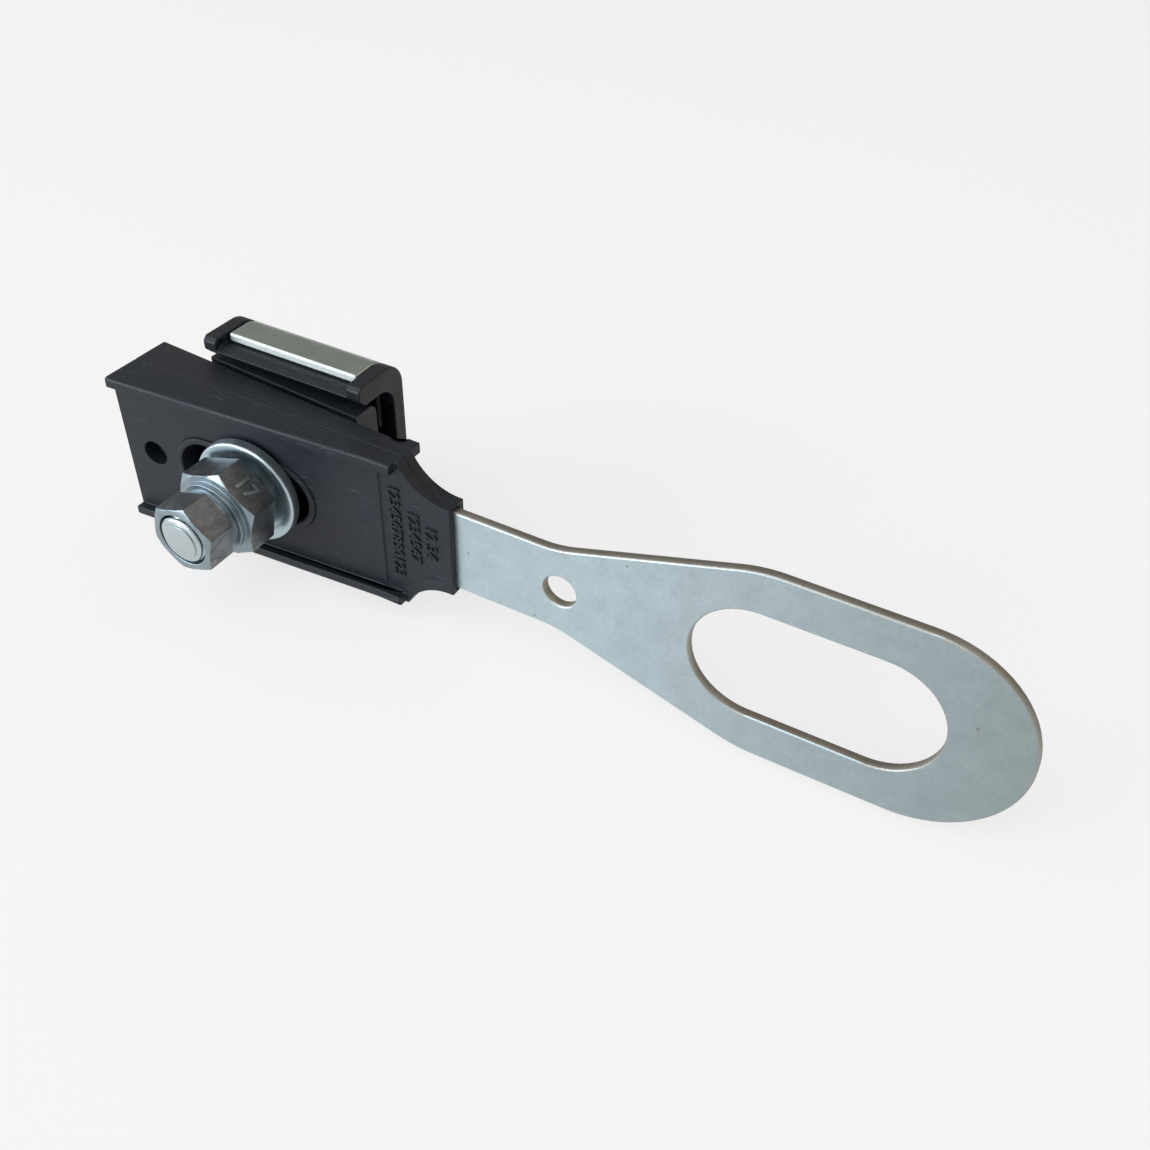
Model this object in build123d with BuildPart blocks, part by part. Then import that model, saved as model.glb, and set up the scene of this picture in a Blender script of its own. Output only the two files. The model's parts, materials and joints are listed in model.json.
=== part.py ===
from build123d import *
import math
import os

# Service drop tension clamp: a flat steel hanger strap held in a two-shell wedge body. Behind
# it an inner jaw slides on the wedge, and a bolt and a shear nut draw the outer jaw forward,
# so the drop conductors are gripped between the two jaws.
# Frame: the origin is the centre of the strap's oblong eye, at the strap's mid-thickness.
# +X runs along the strap away from the clamp body, +Y from the nut side to the jaw side and
# +Z across the strap. Every length is in millimetres.

os.makedirs("parts", exist_ok=True)

# Hanger strap: flat bar with a paddle head, an oblong eye and a small round tie hole.
strap_t = 2.0
strap_neck_w = 18.0
strap_head_w = 40.8
strap_end_x = 36.3
eye_length = 44.4
eye_width = 23.4
taper_outer_x = -11.6
taper_inner_x = -48.2
shoulder_r = 26.0
hip_r = 20.0
tie_hole_x = -47.3
tie_hole_d = 6.5
tail_w = 26.0
tail_start_x = -87.0
tail_end_x = -141.5
tail_corner_r = 3.0

# Body shells: one plan for both, with hollowed corners where they narrow to the strap.
body_left_x = -144.2
body_right_x = -69.2
body_h = 33.3
body_neck_h = 20.0
cove_r = 11.0
cove_x = -69.8
lip_round = 0.7
lip_end_x = -80.6
wedge_ref_x = -113.7
wedge_angle = 4.1
flange_half_t = 6.1
web_half_t = 4.3
neck_half_t = 2.3
lip_h = 2.2
strap_pocket_gap = 0.3

# Label panel on the nut side and end stops on the jaw side of the body.
panel_left_x = -84.6
panel_border = 2.1
panel_depth = 0.35
panel_corner_r = 1.8
stop_left_x = -82.5
stop_w = 2.4
stop_rise = 1.2

# Bolt slot through the body, wider on the nut side and in the strap, and the washer's place in front of it.
slot_left_x = -130.4
slot_right_x = -100.8
slot_w = 12.4
slot_border = 1.3
washer_stand = 0.5
strap_slot_gap = 1.6

# Locating pin through both shells and the strap's tail.
pin_x = -137.4
pin_d = 5.2
pin_fit = 0.05
pin_half_length = 3.4

# Bolt, shear nut and spring washer, all on the bolt axis.
bolt_x = -113.7
bolt_d = 9.85
bolt_end_y = -24.7
bolt_chamfer = 0.9
bolt_head_d = 21.5
bolt_head_h = 5.0
bolt_head_rim = 1.0
square_neck = 10.0
square_neck_l = 3.0
thread_fit = 0.075
loose_fit = 0.4
washer_d = 22.0
washer_t = 2.3
washer_bore_d = 10.95
washer_edge_r = 1.0
nut_back_y = -8.3
nut_af = 17.0
nut_h = 6.8
collar_d = 14.6
collar_h = 1.2
waist_d = 12.2
waist_h = 1.4
shear_af = 13.0
shear_h = 6.2
hex_turn = 138.0
corner_drop = 0.8

# Outer jaw: a C section that runs along X, centred on the bolt, and its steel stiffener.
jaw_half_l = 18.8
jaw_back_y = 20.6
jaw_roof_gap = 0.65
jaw_lip_t = 4.4
jaw_outer_r = 5.0
jaw_lip_y = 7.2
lip_nose_drop = 2.7
lip_under_y = 8.9
jaw_floor_y = 17.4
jaw_inner_r = 4.0
lip_edge = 0.9
stiff_t = 2.0
stiff_half_l = 15.4
stiff_front_y = 10.9
stiff_gap = 0.3
lip_ledge_drop = 1.9
lip_slope = 1.6

# Inner jaw: a block as long as the outer jaw that slides on the rear shell's wedge face.
jaw_travel = 4.0
jaw_stop_gap = 1.6
slide_reach = 6.0
slide_clearance = 0.1
inner_side_gap = 0.15
inner_corner_r = 2.0
tongue_side_gap = 0.5

wedge_tan = math.tan(math.radians(wedge_angle))
strap_half = strap_t / 2
inner_half_z = body_h / 2 - inner_side_gap
jaw_roof_z = body_h / 2 + jaw_roof_gap
jaw_top_z = jaw_roof_z + jaw_lip_t
lip_nose_z = jaw_top_z - lip_nose_drop
lip_ledge_z = jaw_top_z - lip_ledge_drop
slot_mid_x = (slot_left_x + slot_right_x) / 2
slot_length = slot_right_x - slot_left_x
cove_z = body_neck_h / 2 + cove_r

# Cutting bodies reach this far, and outlines that only trim run this far past the body.
cover = 30.0
past = 4.0


def wedge_y(half_t, x):
    """Distance of a wedge face from the strap's mid plane at a station along the body."""
    return half_t - wedge_tan * (x - wedge_ref_x)


# The station where the tapering web meets the flat plate around the strap's neck.
neck_start_x = wedge_ref_x + (web_half_t - neck_half_t) / wedge_tan

# Strap: one flat blank with a wider tail that stays inside the body, then its four openings.
with BuildPart() as hanger_strap:
    with BuildSketch(Plane.XZ) as strap_blank:
        with BuildLine() as strap_outline:
            head_r = strap_head_w / 2
            Polyline(
                (strap_end_x - head_r, head_r),
                (taper_outer_x, head_r),
                (taper_inner_x, strap_neck_w / 2),
                (tail_start_x, strap_neck_w / 2),
                (tail_start_x, tail_w / 2),
                (tail_end_x, tail_w / 2),
                (tail_end_x, -tail_w / 2),
                (tail_start_x, -tail_w / 2),
                (tail_start_x, -strap_neck_w / 2),
                (taper_inner_x, -strap_neck_w / 2),
                (taper_outer_x, -head_r),
                (strap_end_x - head_r, -head_r),
            )
            ThreePointArc((strap_end_x - head_r, -head_r), (strap_end_x, 0), (strap_end_x - head_r, head_r))
        make_face()
        shoulders = [v for v in vertices() if abs(v.X - taper_outer_x) < 0.1]
        fillet(shoulders, shoulder_r)
        hips = [v for v in vertices() if abs(v.X - taper_inner_x) < 0.1]
        fillet(hips, hip_r)
        tail_corners = [v for v in vertices() if abs(v.X - tail_end_x) < 0.1]
        fillet(tail_corners, tail_corner_r)
    extrude(amount=strap_half, both=True)
    with BuildSketch(Plane.XZ):
        SlotOverall(eye_length, eye_width)
        with Locations((tie_hole_x, 0)):
            Circle(tie_hole_d / 2)
        with Locations((slot_mid_x, 0)):
            SlotOverall(slot_length + 2 * strap_slot_gap, slot_w + 2 * strap_slot_gap)
        with Locations((pin_x, 0)):
            Circle(pin_d / 2 + pin_fit)
    extrude(amount=cover, both=True, mode=Mode.SUBTRACT)
hanger_strap.part.label = "hanger_strap"
export_step(hanger_strap.part, "parts/hanger_strap.step")


# Body: the plan seen from the nut side, shared by both shells.
with BuildSketch(Plane.XZ) as body_plan:
    with BuildLine():
        Polyline(
            (body_left_x, -body_h / 2),
            (body_left_x, body_h / 2),
            (cove_x, body_h / 2),
            (cove_x, body_neck_h / 2),
            (body_right_x, body_neck_h / 2),
            (body_right_x, -body_neck_h / 2),
            (cove_x, -body_neck_h / 2),
            (cove_x, -body_h / 2),
            close=True,
        )
    make_face()
    with Locations((cove_x, cove_z), (cove_x, -cove_z)):
        Circle(cove_r, mode=Mode.SUBTRACT)

# The pocket that holds the strap's tail and neck, with a little room around the blank.
with BuildSketch(Plane.XZ) as strap_pocket:
    pocket_left = tail_end_x - strap_pocket_gap
    pocket_step = tail_start_x + strap_pocket_gap
    with Locations(((pocket_left + pocket_step) / 2, 0)):
        Rectangle(pocket_step - pocket_left, tail_w + 2 * strap_pocket_gap)
    with Locations(((pocket_step + body_right_x) / 2, 0)):
        Rectangle(body_right_x - pocket_step, strap_neck_w + 2 * strap_pocket_gap)


def wedge_points(half_t, neck_t, side):
    """Outline, in plan from above, of the space between the mid plane and a wedge face."""
    left_x = body_left_x - past
    right_x = body_right_x + past
    return [
        (left_x, 0),
        (left_x, side * wedge_y(half_t, left_x)),
        (neck_start_x, side * neck_t),
        (right_x, side * neck_t),
        (right_x, 0),
    ]


def recess_points(side):
    """Outline, in plan from above, of the space outside the web between the two lips."""
    left_x = body_left_x - past
    right_x = body_right_x + past
    return [
        (left_x, side * cover),
        (left_x, side * wedge_y(web_half_t, left_x)),
        (neck_start_x, side * neck_half_t),
        (right_x, side * neck_half_t),
        (right_x, side * cover),
    ]


flange_neck_t = neck_half_t + flange_half_t - web_half_t
recess_half_z = body_h / 2 - lip_h


def lip_edges(found, side):
    """The long outer edges of the two lips, where they are rounded."""
    picked = []
    for edge in found:
        ends = [edge.position_at(0), edge.position_at(1)]
        high = all(abs(abs(p.Z) - body_h / 2) < 0.01 for p in ends)
        outer = all(side * p.Y > neck_half_t + 0.1 for p in ends)
        run = abs(ends[0].X - ends[1].X) > 3
        if high and outer and run:
            picked.append(edge)
    return picked


# Front shell: wedge body half on the nut side.
with BuildPart() as front_shell:
    extrude(body_plan.sketch, amount=cover)
    with BuildSketch(Plane.XY):
        Polygon(*wedge_points(flange_half_t, flange_neck_t, -1), align=None)
    extrude(amount=cover, both=True, mode=Mode.INTERSECT)
    with BuildSketch(Plane.XY) as front_recess:
        Polygon(*recess_points(-1), align=None)
    extrude(amount=recess_half_z, both=True, mode=Mode.SUBTRACT)
    front_plate = split(front_recess.sketch, Plane.YZ.offset(lip_end_x), keep=Keep.TOP, mode=Mode.PRIVATE)
    extrude(front_plate, amount=cover, both=True, mode=Mode.SUBTRACT)
    fillet(lip_edges(front_shell.edges(), -1), lip_round)
    # Shallow label panel in the plate around the neck.
    with BuildSketch(Plane.XZ.offset(neck_half_t - panel_depth)):
        offset(body_plan.sketch, amount=-panel_border)
        with Locations((panel_left_x - cover, 0)):
            Rectangle(2 * cover, body_h, mode=Mode.SUBTRACT)
        with Locations((cove_x - cove_r, 0)):
            Rectangle(2 * cove_r, 2 * recess_half_z, mode=Mode.INTERSECT)
        fillet([v for v in vertices() if v.X < panel_left_x + 0.1], panel_corner_r)
    extrude(amount=cover, mode=Mode.SUBTRACT)
    extrude(strap_pocket.sketch, amount=strap_half, mode=Mode.SUBTRACT)
    # On the nut side the bolt slot is wider all round, as wide as the border that its washer slides on.
    with BuildSketch(Plane.XZ):
        with Locations((slot_mid_x, 0)):
            SlotOverall(slot_length + 2 * slot_border, slot_w + 2 * slot_border)
        with Locations((pin_x, 0)):
            Circle(pin_d / 2 + pin_fit)
    extrude(amount=cover, mode=Mode.SUBTRACT)
front_shell.part.label = "front_shell"
export_step(front_shell.part, "parts/front_shell.step")

# Rear shell: the same wedge half on the jaw side, with end stops on its lips.
with BuildPart() as rear_shell:
    extrude(body_plan.sketch, amount=-cover)
    with BuildSketch(Plane.XY):
        Polygon(*wedge_points(flange_half_t, flange_neck_t, 1), align=None)
    extrude(amount=cover, both=True, mode=Mode.INTERSECT)
    with BuildSketch(Plane.XY) as rear_recess:
        Polygon(*recess_points(1), align=None)
    extrude(amount=recess_half_z, both=True, mode=Mode.SUBTRACT)
    rear_plate = split(rear_recess.sketch, Plane.YZ.offset(lip_end_x), keep=Keep.TOP, mode=Mode.PRIVATE)
    extrude(rear_plate, amount=cover, both=True, mode=Mode.SUBTRACT)
    fillet(lip_edges(rear_shell.edges(), 1), lip_round)
    # End stops on the two lips, where the body starts to narrow.
    stop_base_y = strap_half
    stop_top_y = wedge_y(flange_half_t, stop_left_x) + stop_rise
    with BuildSketch(Plane.XZ.offset(-stop_base_y)):
        with Locations((stop_left_x + stop_w / 2, 0)):
            with GridLocations(0, body_h - lip_h, 1, 2):
                Rectangle(stop_w, lip_h)
    extrude(amount=stop_base_y - stop_top_y)
    extrude(strap_pocket.sketch, amount=-strap_half, mode=Mode.SUBTRACT)
    with BuildSketch(Plane.XZ):
        with Locations((slot_mid_x, 0)):
            SlotOverall(slot_length, slot_w)
    extrude(amount=-cover, mode=Mode.SUBTRACT)
    with BuildSketch(Plane.XZ):
        with Locations((pin_x, 0)):
            Circle(pin_d / 2 + pin_fit)
    extrude(amount=-pin_half_length, mode=Mode.SUBTRACT)
rear_shell.part.label = "rear_shell"
export_step(rear_shell.part, "parts/rear_shell.step")

# Locating pin: joins the strap's tail and both shells, seen at the bottom of its hole.
with BuildPart() as locating_pin:
    with BuildSketch(Plane.XZ):
        with Locations((pin_x, 0)):
            Circle(pin_d / 2)
    extrude(amount=pin_half_length, both=True)
locating_pin.part.label = "locating_pin"
export_step(locating_pin.part, "parts/locating_pin.step")

# Spring washer: stands in front of the nut-side web and leans with the wedge face.
washer_seat_y = web_half_t + washer_stand
lean = math.radians(wedge_angle)
washer_plane = Plane(
    origin=(bolt_x, -washer_seat_y, 0),
    x_dir=(math.cos(lean), math.sin(lean), 0),
    z_dir=(math.sin(lean), -math.cos(lean), 0),
)
with BuildPart() as spring_washer:
    with BuildSketch(washer_plane):
        Circle(washer_d / 2)
        Circle(washer_bore_d / 2, mode=Mode.SUBTRACT)
    extrude(amount=washer_t)
    outer_rims = [e for e in spring_washer.edges() if e.length > math.pi * (washer_d - 1)]
    front_rim = min(outer_rims, key=lambda e: e.center(CenterOf.BOUNDING_BOX).Y)
    fillet(front_rim, washer_edge_r)
spring_washer.part.label = "spring_washer"
export_step(spring_washer.part, "parts/spring_washer.step")

# Shear nut: lasting hexagon, collar, turned waist and the smaller head that shears off.
collar_y = nut_back_y - nut_h
waist_y = collar_y - collar_h
shear_y = waist_y - waist_h
shear_end_y = shear_y - shear_h
hex_corner = 2 / math.sqrt(3)
with BuildPart() as shear_nut:
    with BuildSketch(Plane.XZ.offset(-nut_back_y)):
        with Locations((bolt_x, 0)):
            RegularPolygon(nut_af / 2, 6, major_radius=False, rotation=hex_turn)
    extrude(amount=nut_h)
    with BuildSketch(Plane.XZ.offset(-collar_y)):
        with Locations((bolt_x, 0)):
            Circle(collar_d / 2)
    extrude(amount=collar_h)
    with BuildSketch(Plane.XZ.offset(-waist_y)):
        with Locations((bolt_x, 0)):
            Circle(waist_d / 2)
    extrude(amount=waist_h)
    with BuildSketch(Plane.XZ.offset(-shear_y)):
        with Locations((bolt_x, 0)):
            RegularPolygon(shear_af / 2, 6, major_radius=False, rotation=hex_turn)
    extrude(amount=shear_h)
    # Turned corners of both hexagons: everything outside this profile is cut away.
    with BuildSketch(Plane.XY):
        nut_r = nut_af / 2
        shear_r = shear_af / 2
        Polygon(
            (bolt_x, nut_back_y),
            (bolt_x + nut_r * hex_corner, nut_back_y),
            (bolt_x + nut_r * hex_corner, collar_y + corner_drop),
            (bolt_x + nut_r, collar_y),
            (bolt_x + shear_r * hex_corner, collar_y),
            (bolt_x + shear_r * hex_corner, shear_end_y + corner_drop / 2),
            (bolt_x + shear_r, shear_end_y),
            (bolt_x, shear_end_y),
            align=None,
        )
    revolve(axis=Axis((bolt_x, 0, 0), (0, 1, 0)), mode=Mode.INTERSECT)
    with BuildSketch(Plane.XZ):
        with Locations((bolt_x, 0)):
            Circle(bolt_d / 2 + thread_fit)
    extrude(amount=cover, mode=Mode.SUBTRACT)
    with BuildSketch(Plane.XZ.offset(-waist_y)):
        with Locations((bolt_x, 0)):
            Circle(bolt_d / 2 + loose_fit)
    extrude(amount=cover, mode=Mode.SUBTRACT)
shear_nut.part.label = "shear_nut"
export_step(shear_nut.part, "parts/shear_nut.step")

# Clamp bolt: domed head and square neck behind the jaw, shank through slot, washer and nut.
with BuildPart() as clamp_bolt:
    with BuildSketch(Plane.XZ.offset(-jaw_back_y)):
        with Locations((bolt_x, 0)):
            Circle(bolt_d / 2)
    extrude(amount=jaw_back_y - bolt_end_y)
    end_edge = min(clamp_bolt.edges(), key=lambda e: e.center(CenterOf.BOUNDING_BOX).Y)
    chamfer(end_edge, bolt_chamfer)
    with BuildSketch(Plane.XZ.offset(-jaw_back_y)):
        with Locations((bolt_x, 0)):
            Rectangle(square_neck, square_neck)
    extrude(amount=square_neck_l)
    # The head is a disc with a low crown in three rings, on a quarter of an ellipse.
    crown_y = jaw_back_y + bolt_head_rim
    crown_h = bolt_head_h - bolt_head_rim
    crown = []
    for degrees in (0, 30, 60, 90):
        t = math.radians(degrees)
        crown.append((bolt_x + bolt_head_d / 2 * math.cos(t), crown_y + crown_h * math.sin(t)))
    with BuildSketch(Plane.XY):
        Polygon((bolt_x, jaw_back_y), (bolt_x + bolt_head_d / 2, jaw_back_y), *crown, align=None)
    revolve(axis=Axis((bolt_x, 0, 0), (0, 1, 0)))
clamp_bolt.part.label = "clamp_bolt"
export_step(clamp_bolt.part, "parts/clamp_bolt.step")

# Inner jaw: its tongue slides between the rear shell's lips, and the bolt carries it along.
inner_back_y = jaw_floor_y - jaw_travel - jaw_stop_gap
inner_gap = 2 * wedge_tan * slide_reach + slide_clearance
tongue_half_z = recess_half_z - tongue_side_gap
jaw_plane = Plane.YZ.offset(bolt_x)


def in_front_of(half_t):
    """Outline, in plan from above, of what lies in front of a face parallel to the wedge."""
    left_x = bolt_x - jaw_half_l - past
    right_x = bolt_x + jaw_half_l + past
    return [
        (left_x, -past),
        (left_x, wedge_y(half_t + inner_gap, left_x)),
        (right_x, wedge_y(half_t + inner_gap, right_x)),
        (right_x, -past),
    ]


with BuildPart() as inner_jaw:
    with BuildSketch(jaw_plane):
        with Locations((inner_back_y / 2, 0)):
            Rectangle(inner_back_y, 2 * inner_half_z)
        fillet([v for v in vertices() if v.X > inner_back_y - 0.1], inner_corner_r)
    extrude(amount=jaw_half_l, both=True)
    with BuildSketch(Plane.XY):
        Polygon(*in_front_of(web_half_t), align=None)
    extrude(amount=cover, both=True, mode=Mode.SUBTRACT)
    with BuildSketch(Plane.XY.offset(tongue_half_z)):
        Polygon(*in_front_of(flange_half_t), align=None)
    extrude(amount=cover, mode=Mode.SUBTRACT)
    with BuildSketch(Plane.XY.offset(-tongue_half_z)):
        Polygon(*in_front_of(flange_half_t), align=None)
    extrude(amount=-cover, mode=Mode.SUBTRACT)
    with BuildSketch(Plane.XZ):
        with Locations((bolt_x, 0)):
            Circle(bolt_d / 2 + loose_fit)
    extrude(amount=-cover, mode=Mode.SUBTRACT)
inner_jaw.part.label = "inner_jaw"
export_step(inner_jaw.part, "parts/inner_jaw.step")

# Outer jaw: the conductors lie in its channel, above and below the bolt. The underside of
# each lip slopes back from the nose to the channel's roof.
with BuildPart() as outer_jaw:
    with BuildSketch(jaw_plane):
        with Locations(((jaw_lip_y + jaw_back_y) / 2, 0)):
            Rectangle(jaw_back_y - jaw_lip_y, 2 * jaw_top_z)
        fillet([v for v in vertices() if v.X > jaw_lip_y + 1], jaw_outer_r)
        chamfer([v for v in vertices() if v.X < jaw_lip_y + 0.1], lip_edge)
    extrude(amount=jaw_half_l, both=True)
    with BuildSketch(jaw_plane):
        with BuildLine():
            Polyline(
                (jaw_floor_y, -jaw_roof_z),
                (jaw_floor_y, jaw_roof_z),
                (lip_under_y, jaw_roof_z),
                (jaw_lip_y, lip_nose_z),
                (jaw_lip_y - past, lip_nose_z),
                (jaw_lip_y - past, -lip_nose_z),
                (jaw_lip_y, -lip_nose_z),
                (lip_under_y, -jaw_roof_z),
                close=True,
            )
        make_face()
        fillet([v for v in vertices() if v.X > jaw_floor_y - 0.1], jaw_inner_r)
    extrude(amount=cover, both=True, mode=Mode.SUBTRACT)
    # Seat for the stiffener, and the lower ledge of each lip in front of it.
    seat_half_l = stiff_half_l + stiff_gap
    with BuildSketch(jaw_plane):
        with Locations((jaw_back_y, 0)):
            Rectangle(2 * (jaw_back_y - stiff_front_y + stiff_gap), 2 * cover)
        with BuildSketch(mode=Mode.SUBTRACT):
            with Locations(((jaw_back_y - stiff_t) / 2, 0)):
                Rectangle(jaw_back_y - stiff_t, 2 * (jaw_top_z - stiff_t))
            seat_r = jaw_outer_r - stiff_t + stiff_gap
            fillet([v for v in vertices() if v.X > jaw_lip_y], seat_r)
    extrude(amount=seat_half_l, both=True, mode=Mode.SUBTRACT)
    with BuildSketch(jaw_plane):
        with BuildLine():
            Polyline(
                (stiff_front_y, lip_ledge_z),
                (jaw_lip_y + lip_slope, lip_ledge_z),
                (jaw_lip_y - lip_slope, lip_ledge_z - lip_slope),
                (jaw_lip_y - lip_slope, jaw_top_z + past),
                (stiff_front_y, jaw_top_z + past),
                close=True,
            )
        make_face()
        mirror(about=Plane.XZ)
    extrude(amount=seat_half_l, both=True, mode=Mode.SUBTRACT)
    # Bolt hole with the square seat for the bolt's neck.
    with BuildSketch(Plane.XZ):
        with Locations((bolt_x, 0)):
            Circle(bolt_d / 2 + loose_fit)
    extrude(amount=-cover, mode=Mode.SUBTRACT)
    with BuildSketch(Plane.XZ.offset(square_neck_l - jaw_back_y)):
        with Locations((bolt_x, 0)):
            Rectangle(square_neck + 2 * stiff_gap, square_neck + 2 * stiff_gap)
    extrude(amount=-cover, mode=Mode.SUBTRACT)
outer_jaw.part.label = "outer_jaw"
export_step(outer_jaw.part, "parts/outer_jaw.step")

# Jaw stiffener: folded steel channel set into the back and both lips of the outer jaw.
with BuildPart() as jaw_stiffener:
    with BuildSketch(jaw_plane):
        with Locations((jaw_back_y / 2, 0)):
            Rectangle(jaw_back_y, 2 * jaw_top_z)
        fillet([v for v in vertices() if v.X > jaw_lip_y], jaw_outer_r)
        with BuildSketch(mode=Mode.SUBTRACT):
            with Locations(((jaw_back_y - stiff_t) / 2, 0)):
                Rectangle(jaw_back_y - stiff_t, 2 * (jaw_top_z - stiff_t))
            fillet([v for v in vertices() if v.X > jaw_lip_y], jaw_outer_r - stiff_t)
        Rectangle(2 * stiff_front_y, 2 * cover, mode=Mode.SUBTRACT)
    extrude(amount=stiff_half_l, both=True)
    with BuildSketch(Plane.XZ):
        with Locations((bolt_x, 0)):
            Rectangle(square_neck + 2 * stiff_gap, square_neck + 2 * stiff_gap)
    extrude(amount=-cover, mode=Mode.SUBTRACT)
jaw_stiffener.part.label = "jaw_stiffener"
export_step(jaw_stiffener.part, "parts/jaw_stiffener.step")
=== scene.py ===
import json
import math
import bmesh
import bpy
from mathutils import Matrix, Vector


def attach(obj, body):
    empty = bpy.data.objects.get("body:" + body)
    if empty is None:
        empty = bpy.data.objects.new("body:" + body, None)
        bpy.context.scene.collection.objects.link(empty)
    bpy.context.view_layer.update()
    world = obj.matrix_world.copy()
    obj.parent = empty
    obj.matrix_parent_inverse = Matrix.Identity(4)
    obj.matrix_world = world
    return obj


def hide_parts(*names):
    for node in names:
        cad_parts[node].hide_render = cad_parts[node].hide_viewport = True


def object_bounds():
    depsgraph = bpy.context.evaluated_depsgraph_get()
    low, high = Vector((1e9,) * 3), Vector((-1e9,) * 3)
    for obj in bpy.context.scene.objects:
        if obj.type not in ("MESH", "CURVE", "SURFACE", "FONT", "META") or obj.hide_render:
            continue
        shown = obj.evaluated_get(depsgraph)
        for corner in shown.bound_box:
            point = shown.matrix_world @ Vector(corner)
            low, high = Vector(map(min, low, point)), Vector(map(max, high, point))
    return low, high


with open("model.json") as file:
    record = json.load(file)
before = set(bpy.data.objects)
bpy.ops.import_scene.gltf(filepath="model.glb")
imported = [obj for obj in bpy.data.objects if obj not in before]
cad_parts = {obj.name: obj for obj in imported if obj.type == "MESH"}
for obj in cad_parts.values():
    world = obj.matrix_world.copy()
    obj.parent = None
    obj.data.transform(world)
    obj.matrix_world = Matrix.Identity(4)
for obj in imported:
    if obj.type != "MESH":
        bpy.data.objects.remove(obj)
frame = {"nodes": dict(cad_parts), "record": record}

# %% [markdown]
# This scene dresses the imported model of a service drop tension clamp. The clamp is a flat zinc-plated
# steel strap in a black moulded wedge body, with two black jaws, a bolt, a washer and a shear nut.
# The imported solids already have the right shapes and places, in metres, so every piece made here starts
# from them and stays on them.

mm = 0.001
cad_low, cad_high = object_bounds()
body_of = {}
for body, members in frame["record"]["behaviour"]["bodies"].items():
    for member in members:
        body_of[member] = body
print("box in mm:", [round(v / mm, 1) for v in (*cad_low, *cad_high)])
print("nodes:", sorted(frame["nodes"]))

# %% [markdown]
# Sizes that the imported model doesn't hand over by name are written here once, in millimetres, as on the
# maker's drawing. The frame's origin is the centre of the eye, +X runs towards the eye's round end, and
# the nut is on the -Y side.

# %% Named sizes of the clamp
bolt_x = -113.7
bolt_end_y = -24.7
bolt_crest_r = 4.92
bolt_root_r = 4.1
thread_pitch = 1.5
thread_start_y = 12.0
square_neck = 10.0
square_neck_l = 3.0
jaw_back_y = 20.6
bolt_head_r = 10.75
bolt_head_h = 5.0
bolt_head_rim = 1.0
washer_seat_y = -4.8
washer_r = 11.0
washer_bore_r = 5.475
washer_t = 2.3
washer_edge_r = 0.5
washer_land = 1.5
washer_dish = 0.8
wedge_angle = 4.1
nut_mark_y = -11.6
nut_flat_r = 8.5
nut_collar_y = -15.9
nut_collar_half_l = 1.2
flat_inner_r = 6.2
stiffener_wall_y = 12.0
slot_middle_x = -115.6
slot_length = 29.6
slot_width = 12.4
slot_rim_width = 1.3
slot_rim_rise = 0.45
slot_rim_depth = 1.2
web_half_t = 4.3
panel_floor_y = -1.95
digit_rise = 0.3
strap_half_t = 1.0
jaw_floor_y = 17.4
jaw_roof_z = 17.3
jaw_corner_r = 4.0
jaw_lip_under_y = 8.9
inner_back_y = 11.8
inner_half_z = 16.5
grip_pitch = 3.7
grip_count = 9
grip_width = 1.2
grip_rise = 0.8
grip_start_z = 6.9
print("bolt from", bolt_end_y, "to", jaw_back_y + bolt_head_h, "mm")

# %% [markdown]
# Colours are picked as sRGB hex values, as on a screen. The shaders work in linear light, so one
# function turns the first into the second.

# %% Colours
def linear(hex_colour):
    """An sRGB hex colour as linear red, green, blue and alpha."""
    parts = [int(hex_colour[i:i + 2], 16) / 255 for i in (1, 3, 5)]
    return [c / 12.92 if c <= 0.04045 else ((c + 0.055) / 1.055) ** 2.4 for c in parts] + [1.0]


print("mid grey:", [round(c, 3) for c in linear("#808080")])

# %% [markdown]
# A material is a small tree of nodes. One function adds a node, sets its properties and sockets, and
# links its inputs. Another starts a material with its coordinates and its output. The coordinates are
# the object's own, in metres, so a pattern of a real size has a scale of one over that size, and it
# travels with its piece when a joint moves.

# %% Helpers for materials
def add_node(tree, kind, settings=None, links=None):
    """Adds a node, sets its properties and input values, and links its inputs to given outputs."""
    node = tree.nodes.new(kind)
    for key, value in (settings or {}).items():
        if isinstance(key, int) or key in node.inputs:
            node.inputs[key].default_value = value
        else:
            setattr(node, key, value)
    for key, source in (links or {}).items():
        tree.links.new(source, node.inputs[key])
    return node


def start_material(name):
    """A new material with an empty node tree, and the output of its object coordinates."""
    material = bpy.data.materials.new(name)
    material.use_nodes = True
    tree = material.node_tree
    tree.nodes.clear()
    place = add_node(tree, "ShaderNodeTexCoord").outputs["Object"]
    return material, tree, place


def per(size_mm):
    """The texture scale that gives features of this size in millimetres."""
    return 1 / (size_mm * mm)


print("a 0.35 mm grain has scale", round(per(0.35)))
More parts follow.
